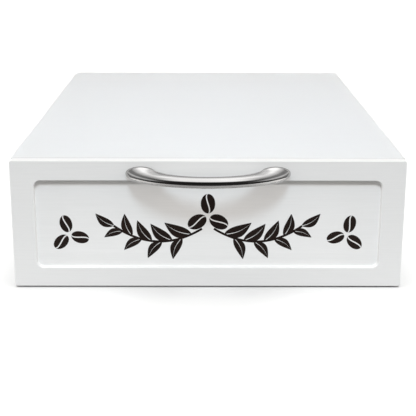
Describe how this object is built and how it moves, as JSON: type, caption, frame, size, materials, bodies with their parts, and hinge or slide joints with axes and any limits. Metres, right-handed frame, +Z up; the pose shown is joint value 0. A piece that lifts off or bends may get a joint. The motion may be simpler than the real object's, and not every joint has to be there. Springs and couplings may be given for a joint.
{
  "type": "coffee pod drawer",
  "caption": "Low wide box with a full-width drawer on ball-bearing slides and a bow handle; the drawer holds coffee pods and the flat top carries the coffee machine.",
  "frame": {"origin": "on the surface it stands on, under the middle of the whole object, handle included", "axes": "+X to the right as seen from the front, +Y from the drawer front to the back, +Z up"},
  "size_m": [0.26, 0.3996, 0.088],
  "materials": {
    "white_paint": "white satin paint on fibreboard, with a faint brushed grain along its length",
    "sheet_board": "thin hardboard with a smooth white lacquered face",
    "beech": "plain beech",
    "zinc_screws": "bright zinc plate",
    "zinc_rail": "rolled steel with bright zinc plate",
    "cage_steel": "thin pressed steel",
    "ball_steel": "polished bearing steel",
    "handle_metal": "polished metal, softly mirror-like",
    "black_rubber": "matt black rubber"
  },
  "bodies": {
    "cabinet": {"bottom_panel": "white_paint", "top_panel": "white_paint", "left_side_panel": "white_paint", "right_side_panel": "white_paint", "back_panel": "sheet_board", "top_panel_dowels": "beech", "bottom_panel_screws": "zinc_screws", "back_panel_screws": "zinc_screws", "front_left_pad": "black_rubber", "front_right_pad": "black_rubber", "rear_left_pad": "black_rubber", "rear_right_pad": "black_rubber", "left_outer_rail": "zinc_rail", "right_outer_rail": "zinc_rail", "left_outer_rail_screws": "zinc_screws", "right_outer_rail_screws": "zinc_screws", "left_rail_bumper": "black_rubber", "right_rail_bumper": "black_rubber"},
    "drawer": {"drawer_front": "white_paint", "handle": "handle_metal", "handle_screws": "zinc_screws", "sub_front": "white_paint", "front_fixing_screws": "zinc_screws", "drawer_left_side": "white_paint", "drawer_right_side": "white_paint", "drawer_back": "white_paint", "drawer_bottom": "sheet_board", "drawer_front_corner_screws": "zinc_screws", "drawer_back_corner_screws": "zinc_screws", "left_inner_rail": "zinc_rail", "right_inner_rail": "zinc_rail", "left_inner_rail_screws": "zinc_screws", "right_inner_rail_screws": "zinc_screws"},
    "left_cage": {"left_ball_cage": "cage_steel", "left_slide_balls": "ball_steel"},
    "right_cage": {"right_ball_cage": "cage_steel", "right_slide_balls": "ball_steel"}
  },
  "joints": [
    {"name": "drawer_slide", "type": "slide", "parent": "cabinet", "child": "drawer", "axis": [0, -1, 0], "range_m": [0, 0.225]},
    {"name": "left_cage_slide", "type": "slide", "parent": "cabinet", "child": "left_cage", "axis": [0, -1, 0], "range_m": [0, 0.1125]},
    {"name": "right_cage_slide", "type": "slide", "parent": "cabinet", "child": "right_cage", "axis": [0, -1, 0], "range_m": [0, 0.1125]}
  ],
  "couplings": [
    {"joint": "left_cage_slide", "follows": "drawer_slide", "ratio": 0.5},
    {"joint": "right_cage_slide", "follows": "drawer_slide", "ratio": 0.5}
  ]
}
